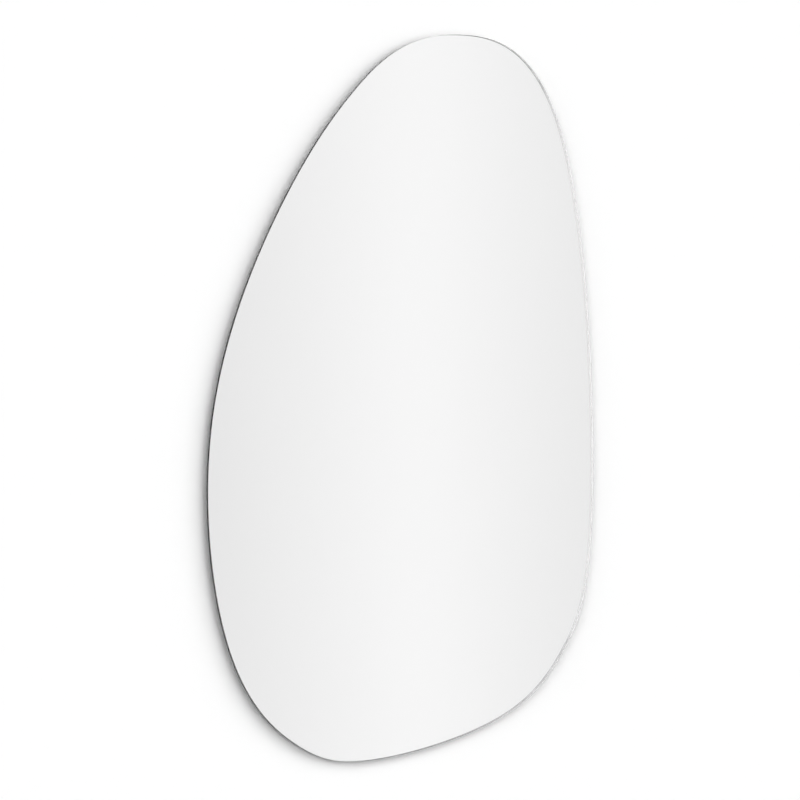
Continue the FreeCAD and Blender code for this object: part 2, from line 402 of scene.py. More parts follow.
def turnedZinc(name, values, centreUp, dark, light, rough):
    # turned steel with zinc plate: rings round the axis and along it
    material, tree, surface = newMaterial(name)
    place = objectPlace(tree)
    sides = splitPlace(tree, place)
    across = calc(tree, "SUBTRACT", calc(tree, "ABSOLUTE", sides["X"]), values["hangerAcross"])
    height = calc(tree, "SUBTRACT", sides["Z"], centreUp)
    squares = calc(tree, "ADD", calc(tree, "MULTIPLY", across, across),
                   calc(tree, "MULTIPLY", height, height))
    travel = calc(tree, "ADD", calc(tree, "SQRT", squares), sides["Y"])
    rings = calc(tree, "SINE", calc(tree, "MULTIPLY", travel, math.tau / values["feed"]))
    tone = useGroup(tree, cloudyTone, place, Scale=110.0, Fine_Scale=1400.0, Fine_Share=0.5)
    worn = useGroup(tree, edgeWear, place, Radius=0.0004, Patches=420.0)
    dust = useGroup(tree, settledDust, place, Amount=0.25)
    colour = mixColour(tree, tone, dark, light)
    colour = mixColour(tree, worn, colour, (0.88, 0.87, 0.85))
    colour = mixColour(tree, dust, colour, (0.50, 0.49, 0.47))
    tree.links.new(colour, surface.inputs["Base Color"])
    surface.inputs["Metallic"].default_value = 1.0
    roughness = calc(tree, "ADD", spread(tree, tone, 0.0, 1.0, rough, rough + 0.12),
                     calc(tree, "MULTIPLY", dust, 0.5))
    tree.links.new(calc(tree, "SUBTRACT", roughness, calc(tree, "MULTIPLY", worn, 0.08)),
                   surface.inputs["Roughness"])
    bumpFrom(tree, surface, [(rings, 0.5, 0.000006), (tone, 0.3, 0.00003)])
    return material


def adhesiveFoam():
    # cut white foam tape: open cells with painted shade in their pits, yellower where the adhesive has aged
    material, tree, surface = newMaterial("adhesiveFoam")
    place = objectPlace(tree)
    tone = useGroup(tree, cloudyTone, place, Scale=90.0, Fine_Scale=1500.0, Fine_Share=0.5)
    cells = newNode(tree, "TexVoronoi")
    cells.inputs["Scale"].default_value = 2600.0
    tree.links.new(place, cells.inputs["Vector"])
    pitsAndTheirShade = spread(tree, cells.outputs["Distance"], 0.0, 0.6, 0.0, 1.0)
    colour = mixColour(tree, tone, (0.80, 0.79, 0.73), (0.89, 0.89, 0.87))
    # painted shade: the colour is darker towards the bottom of each pit
    colour = mixColour(tree, spread(tree, pitsAndTheirShade, 0.0, 0.4, 0.5, 0.0), colour, (0.60, 0.59, 0.55))
    tree.links.new(colour, surface.inputs["Base Color"])
    tree.links.new(spread(tree, tone, 0.0, 1.0, 0.75, 0.92), surface.inputs["Roughness"])
    bumpFrom(tree, surface, [(tone, 0.4, 0.0001), (pitsAndTheirShade, 0.7, 0.00006)])
    return material


def rubber():
    # moulded black rubber with a grey bloom, dusty where it faces up
    material, tree, surface = newMaterial("rubber")
    place = objectPlace(tree)
    tone = useGroup(tree, cloudyTone, place, Scale=160.0, Fine_Scale=1800.0, Fine_Share=0.5)
    worn = useGroup(tree, edgeWear, place, Radius=0.0007, Patches=300.0)
    dust = useGroup(tree, settledDust, place, Amount=0.22)
    colour = mixColour(tree, tone, (0.040, 0.040, 0.042), (0.072, 0.072, 0.075))
    colour = mixColour(tree, calc(tree, "MULTIPLY", worn, 0.5), colour, (0.17, 0.17, 0.17))
    colour = mixColour(tree, dust, colour, (0.36, 0.35, 0.33))
    tree.links.new(colour, surface.inputs["Base Color"])
    tree.links.new(spread(tree, tone, 0.0, 1.0, 0.52, 0.74), surface.inputs["Roughness"])
    grain = noiseValue(tree, place, 3200.0, 3.0)
    bumpFrom(tree, surface, [(tone, 0.3, 0.00008), (grain, 0.5, 0.00002)])
    return material


def nylon(values):
    # moulded grey nylon: flow marks along the plug and a seam where the mould's halves met
    material, tree, surface = newMaterial("nylon")
    place = objectPlace(tree)
    sides = splitPlace(tree, place)
    tone = useGroup(tree, cloudyTone, place, Scale=130.0, Fine_Scale=1500.0, Fine_Share=0.4)
    worn = useGroup(tree, edgeWear, place, Radius=0.0004, Patches=500.0)
    flow = noiseValue(tree, objectPlace(tree, (900, 60, 900)), 1.0, 3.0)
    offSeam = calc(tree, "ABSOLUTE", calc(tree, "SUBTRACT", calc(tree, "ABSOLUTE", sides["X"]),
                                          values["hangerAcross"]))
    seam = spread(tree, offSeam, 0.00006, 0.00014, 1.0, 0.0)
    colour = mixColour(tree, tone, (0.600, 0.612, 0.620), (0.690, 0.698, 0.705))
    colour = mixColour(tree, spread(tree, flow, 0.55, 0.75, 0.0, 0.5), colour, (0.74, 0.75, 0.75))
    colour = mixColour(tree, calc(tree, "MULTIPLY", worn, 0.6), colour, (0.80, 0.80, 0.79))
    tree.links.new(colour, surface.inputs["Base Color"])
    tree.links.new(spread(tree, flow, 0.3, 0.7, 0.34, 0.50), surface.inputs["Roughness"])
    bumpFrom(tree, surface, [(flow, 0.3, 0.00003), (seam, 0.6, 0.00005)])
    return material


glassShape = {
    # control points of the outline, as shares of half the width and half the height
    "controls": [
        (-0.945, -0.755), (-0.555, -0.965), (-0.255, -1.025), (0.580, -0.920),
        (0.850, -0.730), (1.055, -0.490), (0.925, 0.955), (0.250, 1.020),
        (-0.060, 0.955), (-0.275, 0.835), (-0.615, 0.570), (-1.075, -0.040),
    ],
    "stepsBetween": 120,
    "frontArris": 0.0002,
    "rearArris": 0.0002,
    "silverInset": 0.00002,  # beyond the rear arris
    "paintInset": 0.00004,
    "filmInset": 0.0033,  # from the outline
    "softEdge": 0.00005,
    "opticalContact": 0.00002,  # the glass reaches this far into the silver, so that no gap shows
}

meshCare = {
    "joinWithin": 0.000002,  # points nearer than this are one point
    "cutWithin": 0.0000005,
    "flatWithin": 0.5,  # faces that turn less than this many degrees are one face
    "flatAfterBevel": 0.01,
    "shadeWithin": 35,
    "facesKeepFlat": 60,
}


def outlineLoop(values, name):
    # the outline as a closed row of edges, fitted to the size of the CAD glass
    curve = bpy.data.curves.new(name, "CURVE")
    curve.dimensions = "3D"
    spline = curve.splines.new("NURBS")
    spline.points.add(len(values["controls"]) - 1)
    for point, (across, up) in zip(spline.points, values["controls"]):
        point.co = (across, 0, up, 1)
    spline.use_cyclic_u = True
    spline.order_u = 4
    spline.resolution_u = values["stepsBetween"]
    piece = bpy.data.objects.new(name, curve)
    bpy.context.collection.objects.link(piece)
    selectOnly(piece)
    bpy.ops.object.convert(target="MESH")
    piece = bpy.context.object
    low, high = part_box("mirror_glass")
    places = [vertex.co for vertex in piece.data.vertices]
    firstX, lastX = min(p.x for p in places), max(p.x for p in places)
    firstZ, lastZ = min(p.z for p in places), max(p.z for p in places)
    for place in places:
        place.x = low[0] + (place.x - firstX) / (lastX - firstX) * (high[0] - low[0])
        place.z = low[2] + (place.z - firstZ) / (lastZ - firstZ) * (high[2] - low[2])
    return piece


def selectBy(piece, kind, test):
    # in edit mode: selects the vertices, edges or faces that pass the test
    bpy.ops.mesh.select_all(action="DESELECT")
    bpy.ops.object.mode_set(mode="OBJECT")
    for item in getattr(piece.data, kind):
        item.select = test(item)
    bpy.ops.object.mode_set(mode="EDIT")


def makeGlass(values):
    low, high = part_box("mirror_glass")
    front, rear = low[1], high[1] + values["opticalContact"]
    glass = outlineLoop(values, "mirrorGlass")
    for vertex in glass.data.vertices:
        vertex.co.y = rear
    selectOnly(glass)
    bpy.ops.object.mode_set(mode="EDIT")
    bpy.ops.mesh.select_mode(type="VERT")
    selectAll()
    bpy.ops.mesh.edge_face_add()
    bpy.ops.mesh.extrude_region_move(TRANSFORM_OT_translate={"value": (0, front - rear, 0)})
    selectAll()
    bpy.ops.mesh.normals_make_consistent(inside=False)
    for edge, size in ((front, values["frontArris"]), (rear, values["rearArris"])):
        bpy.ops.mesh.select_mode(type="VERT")
        selectBy(glass, "vertices", lambda vertex: abs(vertex.co.y - edge) < 0.000001)
        bpy.ops.mesh.bevel(offset=size, segments=1, affect="EDGES")
    bpy.ops.object.mode_set(mode="OBJECT")
    applyModifier(glass, "BEVEL", width=values["softEdge"], segments=2, limit_method="ANGLE",
                  angle_limit=math.radians(25))
    bpy.ops.object.shade_smooth_by_angle(angle=math.radians(30))
    applyModifier(glass, "WEIGHTED_NORMAL", mode="FACE_AREA", weight=100, keep_sharp=True)
    glass.data.materials.append(clearGlass())
    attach(glass, "mirror")
    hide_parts("mirror_glass")


def makeLayer(values, node, name, inset, material):
    # a thin layer on the back of the glass, with the glass's own outline set in
    low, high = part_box(node)
    piece = outlineLoop(values, name)
    for vertex in piece.data.vertices:
        vertex.co.y = high[1]
    selectOnly(piece)
    bpy.ops.object.mode_set(mode="EDIT")
    bpy.ops.mesh.select_mode(type="VERT")
    selectAll()
    bpy.ops.mesh.edge_face_add()
    bpy.ops.mesh.inset(thickness=inset, use_even_offset=True)
    bpy.ops.mesh.select_all(action="INVERT")
    bpy.ops.mesh.delete(type="VERT")
    selectAll()
    bpy.ops.mesh.extrude_region_move(TRANSFORM_OT_translate={"value": (0, low[1] - high[1], 0)})
    selectAll()
    bpy.ops.mesh.normals_make_consistent(inside=False)
    bpy.ops.object.mode_set(mode="OBJECT")
    bpy.ops.object.shade_smooth_by_angle(angle=math.radians(30))
    applyModifier(piece, "WEIGHTED_NORMAL", mode="FACE_AREA", weight=100, keep_sharp=True)
    handOver(piece, node, "mirror", material)


def handOver(piece, node, body, material):
    piece.data.materials.clear()
    piece.data.materials.append(material)
    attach(piece, body)
    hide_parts(node)


def soften(piece, width, segments=2, angle=30):
    # small round edges, with the flat faces kept flat in their shading
    applyModifier(piece, "BEVEL", width=width, segments=segments, limit_method="ANGLE",
                  angle_limit=math.radians(angle))
    joinUp(piece, meshCare["joinWithin"], meshCare["flatAfterBevel"])
    bpy.ops.object.shade_smooth_by_angle(angle=math.radians(meshCare["shadeWithin"]))
    applyModifier(piece, "WEIGHTED_NORMAL", mode="FACE_AREA", weight=meshCare["facesKeepFlat"],
                  keep_sharp=True)


def spunPiece(name, axisAt, profile, steps=96):
    # profile: corners as (radius, distance off the wall) in millimetres, spun about an axis
    # that is square to the wall
    across, up = axisAt
    corners = [(radius / 1000, off / 1000) for radius, off in profile]
    radius, off = corners[0]
    bpy.ops.object.select_all(action="DESELECT")
    bpy.ops.mesh.primitive_plane_add(size=0.001, location=(across + radius, -off, up))
    piece = bpy.context.object
    piece.name = name
    bpy.ops.object.transform_apply()
    bpy.ops.object.mode_set(mode="EDIT")
    bpy.ops.mesh.select_mode(type="VERT")
    selectAll()
    bpy.ops.mesh.merge(type="CENTER")
    for nextRadius, nextOff in corners[1:]:
        step = (nextRadius - radius, off - nextOff, 0)
        bpy.ops.mesh.extrude_region_move(TRANSFORM_OT_translate={"value": step})
        radius, off = nextRadius, nextOff
    selectAll()
    bpy.ops.mesh.spin(steps=steps, angle=math.tau, center=(across, 0, up), axis=(0, 1, 0))
    selectAll()
    bpy.ops.mesh.remove_doubles(threshold=meshCare["joinWithin"])
    bpy.ops.mesh.normals_make_consistent(inside=False)
    bpy.ops.object.mode_set(mode="OBJECT")
    return piece


def blockPiece(name, middle, size):
    bpy.ops.object.select_all(action="DESELECT")
    bpy.ops.mesh.primitive_cube_add(size=1, location=[value / 1000 for value in middle],
                                    scale=[value / 1000 for value in size])
    piece = bpy.context.object
    piece.name = name
    bpy.ops.object.transform_apply()
    return piece


def combine(piece, other, operation):
    applyModifier(piece, "BOOLEAN", operation=operation, object=other, solver="EXACT")
    bpy.data.objects.remove(other)


def joinUp(piece, apart, flat=meshCare["flatWithin"]):
    # joins points nearer than apart, then faces that lie in one plane
    selectOnly(piece)
    bpy.ops.object.mode_set(mode="EDIT")
    bpy.ops.mesh.select_mode(type="VERT")
    selectAll()
    bpy.ops.mesh.remove_doubles(threshold=apart)
    bpy.ops.mesh.dissolve_limited(angle_limit=math.radians(flat))
    bpy.ops.object.mode_set(mode="OBJECT")


def softCopy(node, name):
    # a copy of the CAD piece's mesh, with its loose triangles joined up
    piece = bpy.data.objects.new(name, cadNodes[node].data.copy())
    bpy.context.collection.objects.link(piece)
    joinUp(piece, meshCare["joinWithin"])
    return piece


def makePair(piece, kind, apart, bodies, material):
    # the left piece, and a copy of it for the right side
    selectOnly(piece)
    bpy.ops.object.duplicate()
    other = bpy.context.object
    other.name = piece.name.replace("left", "right")
    bpy.ops.transform.translate(value=(apart / 1000, 0, 0))
    bpy.ops.object.transform_apply()
    handOver(piece, "left_" + kind, bodies[0], material)
    handOver(other, "right_" + kind, bodies[1], material)
    print(kind, len(piece.data.polygons), "faces each")


hanging = {
    # millimetres, as in the CAD
    "apart": 180.0,
    "leftAcross": -90.0,
    "spacerApart": 200.0,
    "spacerAt": (-100.0, -430.0),
    "hingeUp": 2.0,  # the roller's own middle is above the screw
}

# profiles and sizes below are in millimetres, and a softEdge is in metres
washerShape = {
    "profile": [(2.50, 0), (6.80, 0), (7.0, 0.16), (7.0, 0.66), (6.93, 0.85), (6.72, 0.97), (6.4, 1.0),
                (2.75, 1.0), (2.48, 0.93), (2.36, 0.78), (2.36, 0.14), (2.50, 0)],
    "softEdge": 0.00004,
}


def makeWashers(values, places):
    piece = spunPiece("leftWasher", (places["leftAcross"] / 1000, 0), values["profile"])
    soften(piece, values["softEdge"])
    makePair(piece, "washer", places["apart"], ("wall_fixings",) * 2,
             finishes["roller"])


screwShape = {
    "head": [(0, 7.3), (4.22, 7.3), (4.36, 7.24), (4.4, 7.1), (4.36, 6.96), (2.25, 4.9), (1.85, 4.4),
             (1.72, 3.8), (1.72, -5.0), (0, -5.0)],
    "headFront": 7.3,
    "threadStart": 2.16,  # behind the wall's face, before the first turn is cut off
    "turnsCutOff": 1.1,  # the winding is complete all the way round only after its first turn
    "pitch": 2.4,
    "turns": 17,
    "steps": 32,
    "core": 1.45,
    "crest": 2.25,
    # the profile's steps, as shares of the thread's height and of its pitch
    "threadSteps": [(0, 0.50), (0.12, 0.06), (0.78, 0.16), (0.10, 0.03), (-0.10, 0.03), (-0.78, 0.16),
                    (-0.12, 0.06)],
    "tipStart": 37.7,
    "tipEnd": 42.45,
    "tipShare": 0.06,  # of the full radius, at the very end
    "crossLong": 4.6,
    "crossWide": 0.95,
    "crossDeep": 1.9,
    "crossTaper": 0.5,
    "softEdge": 0.00006,
    "softAngle": 40,
}


def makeThread(values):
    # one turn's profile, wound on by the screw modifier, then drawn in to a point
    pitch, core, crest = values["pitch"] / 1000, values["core"] / 1000, values["crest"] / 1000
    bpy.ops.object.select_all(action="DESELECT")
    bpy.ops.mesh.primitive_plane_add(size=0.001, location=(0, 0, 0))
    piece = bpy.context.object
    bpy.ops.object.mode_set(mode="EDIT")
    bpy.ops.mesh.select_mode(type="VERT")
    selectAll()
    bpy.ops.mesh.merge(type="CENTER")
    bpy.ops.transform.translate(value=(core, values["threadStart"] / 1000, 0))
    rise = crest - core
    for outward, along in values["threadSteps"]:
        step = (rise * outward, along * pitch, 0)
        bpy.ops.mesh.extrude_region_move(TRANSFORM_OT_translate={"value": step})
    bpy.ops.object.mode_set(mode="OBJECT")
    near = meshCare["joinWithin"]
    applyModifier(piece, "SCREW", axis="Y", angle=math.tau, screw_offset=pitch, steps=values["steps"],
                  render_steps=values["steps"], iterations=values["turns"], use_merge_vertices=True,
                  merge_threshold=near)
    tipStart, tipEnd, least = values["tipStart"] / 1000, values["tipEnd"] / 1000, values["tipShare"]
    for vertex in piece.data.vertices:
        if vertex.co.y > tipStart:
            slim = max(least, 1 - (vertex.co.y - tipStart) / (tipEnd - tipStart) * (1 - least))
            vertex.co.x *= slim
            vertex.co.z *= slim
    selectOnly(piece)
    bpy.ops.object.mode_set(mode="EDIT")
    selectAll()
    bpy.ops.mesh.remove_doubles(threshold=near)
    firstCut = values["threadStart"] / 1000 + pitch * values["turnsCutOff"]
    for cut, outer in ((firstCut, False), (tipEnd, True)):
        selectAll()
        bpy.ops.mesh.bisect(plane_co=(0, cut, 0), plane_no=(0, 1, 0), use_fill=True, clear_outer=outer,
                            clear_inner=not outer, threshold=meshCare["cutWithin"])
    selectAll()
    bpy.ops.mesh.remove_doubles(threshold=near)
    bpy.ops.mesh.normals_make_consistent(inside=False)
    bpy.ops.object.mode_set(mode="OBJECT")
    return piece


def makeScrews(values, places):
    across = places["leftAcross"]
    piece = spunPiece("leftWallScrew", (across / 1000, 0), values["head"])
    for size in ((values["crossLong"], values["crossWide"]), (values["crossWide"], values["crossLong"])):
        cutter = blockPiece("recess", (across, -values["headFront"], 0),
                            (size[0], values["crossDeep"] * 2, size[1]))
        deepest = max(vertex.co.y for vertex in cutter.data.vertices)
        selectOnly(cutter)
        bpy.ops.object.mode_set(mode="EDIT")
        bpy.ops.mesh.select_mode(type="VERT")
        selectBy(cutter, "vertices", lambda vertex: vertex.co.y > deepest - 0.00001)
        taper = values["crossTaper"]
        bpy.ops.transform.resize(value=(taper, 1, taper), center_override=(across / 1000, 0, 0))
        bpy.ops.object.mode_set(mode="OBJECT")
        combine(piece, cutter, "DIFFERENCE")
    joinUp(piece, 0.00001)
    soften(piece, values["softEdge"], angle=values["softAngle"])
    thread = makeThread(values)
    thread.location.x = across / 1000
    selectOnly(thread)
    bpy.ops.object.transform_apply()
    combine(piece, thread, "UNION")
    joinUp(piece, 0.000005)
    bpy.ops.object.shade_smooth_by_angle(angle=math.radians(meshCare["shadeWithin"]))
    makePair(piece, "wall_screw", places["apart"], ("wall_fixings",) * 2,
             finishes["screw"])


rollerShape = {
    "body": [(0, 2.8), (6.85, 2.8), (7.0, 3.1), (7.0, 4.75), (7.08, 4.94), (7.25, 5.0), (9.5, 5.0),
             (10.0, 5.5), (10.0, 6.9), (9.5, 7.4), (0, 7.4)],
    "bore": [(0, 0.5), (2.33, 0.5), (2.33, 5.13), (4.6, 7.4), (5.0, 7.8), (0, 7.8)],
    "nutChamfer": [(0, 1.0), (8.55, 1.0), (9.95, 1.72), (9.95, 2.9), (9.3, 3.2), (0, 3.2)],
    "acrossFlats": 17.0,
    "nutFrom": 1.0,
    "nutTo": 3.2,
    "markRadius": 0.55,
    "markUp": 7.2,  # the drilled dot shows which side is thick
    "markDeep": 0.4,
    "markStraight": 0.1,  # its wall, before the drill's point
    "markSteps": 24,
    "cutFrom": 0.5,  # cutters start here, clear of the nut
    "joinWithin": 0.00004,  # metres
    "softEdge": 0.00012,
}


def makeRollers(values, places):
    across, middle = places["leftAcross"] / 1000, places["hingeUp"] / 1000
    piece = spunPiece("leftEccentricRoller", (across, middle), values["nutChamfer"])
    radius = values["acrossFlats"] / 2000 / math.cos(math.pi / 6)
    rear, front = values["nutFrom"] / 1000, values["nutTo"] / 1000
    bpy.ops.object.select_all(action="DESELECT")
    bpy.ops.mesh.primitive_cylinder_add(vertices=6, radius=radius, depth=front - rear,
                                        location=(across, -(rear + front) / 2, middle),
                                        rotation=(math.pi / 2, math.pi / 6, 0))
    nut = bpy.context.object
    bpy.ops.object.transform_apply()
    combine(piece, nut, "INTERSECT")
    combine(piece, spunPiece("rollerBody", (across, middle), values["body"]), "UNION")
    combine(piece, spunPiece("rollerBore", (across, 0), values["bore"]), "DIFFERENCE")
    cutFrom, nutFrom, wide = values["cutFrom"], values["nutFrom"], values["markRadius"]
    profile = [(0, cutFrom), (wide, cutFrom), (wide, nutFrom + values["markStraight"]),
               (0, nutFrom + values["markDeep"])]
    markAt = (across, middle + values["markUp"] / 1000)
    combine(piece, spunPiece("rollerMark", markAt, profile, values["markSteps"]), "DIFFERENCE")
    joinUp(piece, values["joinWithin"])
    soften(piece, values["softEdge"])
    makePair(piece, "eccentric_roller", places["apart"], ("left_roller", "right_roller"),
             finishes["roller"])


plugShape = {
    "mouth": [(2.91, 0), (3.85, 0), (4.0, -0.15), (4.0, -0.8), (3.9, -0.9), (3.72, -1.15), (3.72, -13.7),
              (3.35, -14.0)],
    # one tooth's corners: (radius, distance before the tooth's end)
    "tooth": [(3.96, 0.75), (4.0, 0.62), (4.0, 0.45), (3.9, 0.32), (3.35, 0)],
    "bore": [(3.11, -40.0), (2.46, -40.0), (2.36, -39.85), (2.36, -0.7), (2.91, 0)],
    "root": 3.35,
    "rootLong": 0.25,
    "collar": 14.0,
    "length": 40.0,
    "teeth": 6,
    "slit": 1.2,
    "slitLong": 12.0,  # right through the plug
    "endRing": 2.0,
    "finSize": (0.7, 11.6, 0.73),
    "finBehind": 6.8,
    "finOutward": 3.61,
    "joinWithin": 0.00002,  # metres
    "softEdge": 0.00006,
}


def makePlugs(values, places):
    across, collar, length = places["leftAcross"], values["collar"], values["length"]
    profile = list(values["mouth"])
    pitch = (length - collar) / values["teeth"]
    for tooth in range(values["teeth"]):
        start = -collar - tooth * pitch
        profile.append((values["root"], start - values["rootLong"]))
        profile += [(radius, start - pitch + before) for radius, before in values["tooth"]]
    profile = profile[:-1] + values["bore"]  # the last tooth ends at the bore's rim
    piece = spunPiece("leftWallPlug", (across / 1000, 0), profile)
    middle = (collar + length - values["endRing"]) / 2
    slit = blockPiece("slit", (across, middle, 0),
                      (values["slitLong"], length - values["endRing"] - collar, values["slit"]))
    combine(piece, slit, "DIFFERENCE")
    for side in (-1, 1):
        # a fin that bites the wall and stops the plug turning
        finAt = (across, values["finBehind"], side * values["finOutward"])
        combine(piece, blockPiece("fin", finAt, values["finSize"]), "UNION")
    joinUp(piece, values["joinWithin"])
    soften(piece, values["softEdge"])
    makePair(piece, "wall_plug", places["apart"], ("wall_fixings",) * 2, finishes["nylon"])


plateShape = {
    "softEdge": 0.00018,
    "segments": 3,
}


def makePlates(values, places):
    piece = softCopy("left_hanger_plate", "leftHangerPlate")
    soften(piece, values["softEdge"], values["segments"])
    makePair(piece, "hanger_plate", places["apart"], ("mirror",) * 2, finishes["sheet"])


padShape = {
    "bulge": [(0, 8.62), (0.9, 8.66), (1.6, 8.82), (2.1, 9.05), (2.42, 9.32), (2.42, 9.6), (0, 9.6)],
    "bulgeSteps": 32,
    "holesAcross": (-111.0, -69.0),
    "holesUp": (-17.7, 24.3),
    "softEdge": 0.0002,
    "segments": 3,
    "softAngle": 45,
}


def makePads(values, places):
    piece = softCopy("left_adhesive_pad", "leftAdhesivePad")
    for across in values["holesAcross"]:
        for up in values["holesUp"]:
            # the foam is pressed up into each of the plate's four holes
            bulge = spunPiece("bulge", (across / 1000, up / 1000), values["bulge"], values["bulgeSteps"])
            combine(piece, bulge, "UNION")
    soften(piece, values["softEdge"], values["segments"], values["softAngle"])
    makePair(piece, "adhesive_pad", places["apart"], ("mirror",) * 2, finishes["foam"])


spacerShape = {
    "buffer": [(0, 0.8), (1.9, 0.8), (2.4, 0.55), (2.75, 0.12), (3.2, 0), (6.5, 0), (7.0, 0.12),
               (7.38, 0.45), (7.5, 0.95), (8.62, 7.9), (8.72, 8.1), (8.98, 8.2), (9.0, 8.35),
               (9.0, 9.45), (8.9, 9.7), (8.7, 9.8), (0, 9.8)],
    "softEdge": 0.00008,
    "softAngle": 25,
    "disc": [(0, 9.82), (8.38, 9.82), (8.48, 9.9), (8.5, 10.05), (8.48, 10.2), (8.4, 10.3), (0, 10.3)],
    "discEdge": 0.00003,
}


def makeSpacers(values, places):
    axisAt = [value / 1000 for value in places["spacerAt"]]
    piece = spunPiece("leftRubberSpacer", axisAt, values["buffer"])
    soften(piece, values["softEdge"], angle=values["softAngle"])
    makePair(piece, "rubber_spacer", places["spacerApart"], ("mirror",) * 2, finishes["rubber"])
    piece = spunPiece("leftSpacerDisc", axisAt, values["disc"])
    soften(piece, values["discEdge"])
    makePair(piece, "spacer_disc", places["spacerApart"], ("mirror",) * 2, finishes["foam"])


studio = {
    "wallBehind": 0.0003,
    "trapBehind": 0.0002,
    "wallHalfWidth": 3.0,
    "wallTop": 1.6,
    "floorBelow": -1.35,
    "floorHalf": 5.0,
    "wallWhite": 1.0,
    "reflected": 0.985,  # at the middle of each strip that the mirror reflects
    "stripFall": 0.043,  # per degree away from the middle
    "stripRound": 0.6,
    "stripMost": 0.17,
    "stripCentre": 32.52,
    "stripSpacing": 15.0,
    # brighter parts of the surroundings: (turn, reach each way, extra light)
    "sideLight": (66.0, 20.0, 0.30),
    "crossLight": (-33.0, 12.0, 0.35),
    # the surroundings as metal and mirror show them are even near level, and darker beyond
    "evenUpTo": 9.0,  # degrees above and below level
    "fadeBelow": 30,  # degrees over which it gets darker
    "fadeAbove": 50,
    "darkBelow": 0.62,
    "darkAbove": 0.85,
    "rearBelow": 0.35,  # behind the wall, for the hardware
    "floorPale": 0.6,
    "openAcross": 0.135,
    "openUp": 0.06,
}


def mixShaders(tree, amount, first, second):
    mix = newNode(tree, "MixShader")
    tree.links.new(amount, mix.inputs[0])
    tree.links.new(first.outputs[0], mix.inputs[1])
    tree.links.new(second.outputs[0], mix.inputs[2])
    return mix


def clearWhere(tree, amount, shader):
    clear = newNode(tree, "BsdfTransparent")
    mix = mixShaders(tree, amount, shader, clear)
    tree.links.new(mix.outputs[0], tree.nodes["Material Output"].inputs["Surface"])


def makeWorld(values):
    world = bpy.data.worlds.new("studioWorld")
    bpy.context.scene.world = world
    world.use_nodes = True
    tree = world.node_tree
    tree.nodes.clear()
    output = newNode(tree, "OutputWorld")
    path = newNode(tree, "LightPath")
    place = newNode(tree, "TexCoord")
    split = newNode(tree, "SeparateXYZ")
    tree.links.new(place.outputs["Generated"], split.inputs[0])
    ahead = calc(tree, "MULTIPLY", split.outputs["Y"], -1.0)
    turned = calc(tree, "DEGREES", calc(tree, "ARCTAN2", split.outputs["X"], ahead))
    fromStrip = calc(tree, "SUBTRACT", turned, values["stripCentre"])
    away = calc(tree, "PINGPONG", fromStrip, values["stripSpacing"] / 2)
    roundEnd = values["stripRound"]
    curved = calc(tree, "SQRT", calc(tree, "ADD", calc(tree, "MULTIPLY", away, away), roundEnd * roundEnd))
    fall = calc(tree, "MULTIPLY", calc(tree, "SUBTRACT", curved, roundEnd), values["stripFall"])
    fall = calc(tree, "SMOOTH_MIN", fall, values["stripMost"], 0.05)
    seen = calc(tree, "SUBTRACT", values["reflected"], fall)
    for name in ("sideLight", "crossLight"):
        middle, reach, extra = values[name]
        off = calc(tree, "ABSOLUTE", calc(tree, "SUBTRACT", turned, middle))
        band = newNode(tree, "MapRange")
        band.interpolation_type = "SMOOTHSTEP"
        band.inputs["From Min"].default_value = reach
        band.inputs["From Max"].default_value = reach / 2
        tree.links.new(off, band.inputs["Value"])
        seen = calc(tree, "ADD", seen, calc(tree, "MULTIPLY", band.outputs["Result"], extra))
    seen = calc(tree, "MINIMUM", seen, 1.0)
    raised = calc(tree, "DEGREES", calc(tree, "ARCSINE", split.outputs["Z"]))
    even = values["evenUpTo"]
    below = spread(tree, raised, -even - values["fadeBelow"], -even, values["darkBelow"], 1.0)
    above = spread(tree, raised, even, even + values["fadeAbove"], 1.0, values["darkAbove"])
    seen = calc(tree, "MULTIPLY", seen, calc(tree, "MULTIPLY", below, above))
    rear = spread(tree, raised, -45.0, 35.0, values["rearBelow"], 1.0)
    behind = calc(tree, "GREATER_THAN", split.outputs["Y"], 0.0)
    front = calc(tree, "SUBTRACT", 1.0, behind)
    seen = calc(tree, "ADD", calc(tree, "MULTIPLY", seen, front), calc(tree, "MULTIPLY", rear, behind))
    whiteBack = newNode(tree, "Background")
    seenBack = newNode(tree, "Background")
    tree.links.new(seen, seenBack.inputs["Strength"])
    darkBack = newNode(tree, "Background")
    darkBack.inputs["Strength"].default_value = 0.0
    for back in (whiteBack, seenBack, darkBack):
        back.inputs["Color"].default_value = (1, 1, 1, 1)
    mirrored = calc(tree, "MAXIMUM", path.outputs["Is Glossy Ray"], path.outputs["Is Transmission Ray"])
    inner = mixShaders(tree, mirrored, darkBack, seenBack)
    outer = mixShaders(tree, path.outputs["Is Camera Ray"], inner, whiteBack)
    tree.links.new(outer.outputs[0], output.inputs["Surface"])


def wallPaint(values):
    material, tree, surface = newMaterial("wallPaint")
    surface.inputs["Base Color"].default_value = (values["wallWhite"],) * 3 + (1,)
    surface.inputs["Roughness"].default_value = 0.9
    surface.inputs["Specular IOR Level"].default_value = 0.0
    geometry = newNode(tree, "NewGeometry")
    # behind the mirror the wall is open to reflections, so that the hardware's metal isn't black
    path = newNode(tree, "LightPath")
    sides = splitPlace(tree, objectPlace(tree))
    inside = calc(tree, "LESS_THAN", calc(tree, "ABSOLUTE", sides["X"]), values["openAcross"])
    inside = calc(tree, "MULTIPLY", inside, calc(tree, "LESS_THAN", calc(tree, "ABSOLUTE", sides["Z"]),
                                                 values["openUp"]))
    opened = calc(tree, "MULTIPLY", inside, path.outputs["Is Glossy Ray"])
    clearWhere(tree, calc(tree, "MAXIMUM", geometry.outputs["Backfacing"], opened), surface)
    return material


def trapBlack():
    material, tree, surface = newMaterial("trapBlack")
    surface.inputs["Base Color"].default_value = (0, 0, 0, 1)
    surface.inputs["Roughness"].default_value = 1.0
    surface.inputs["Specular IOR Level"].default_value = 0.0
    return material


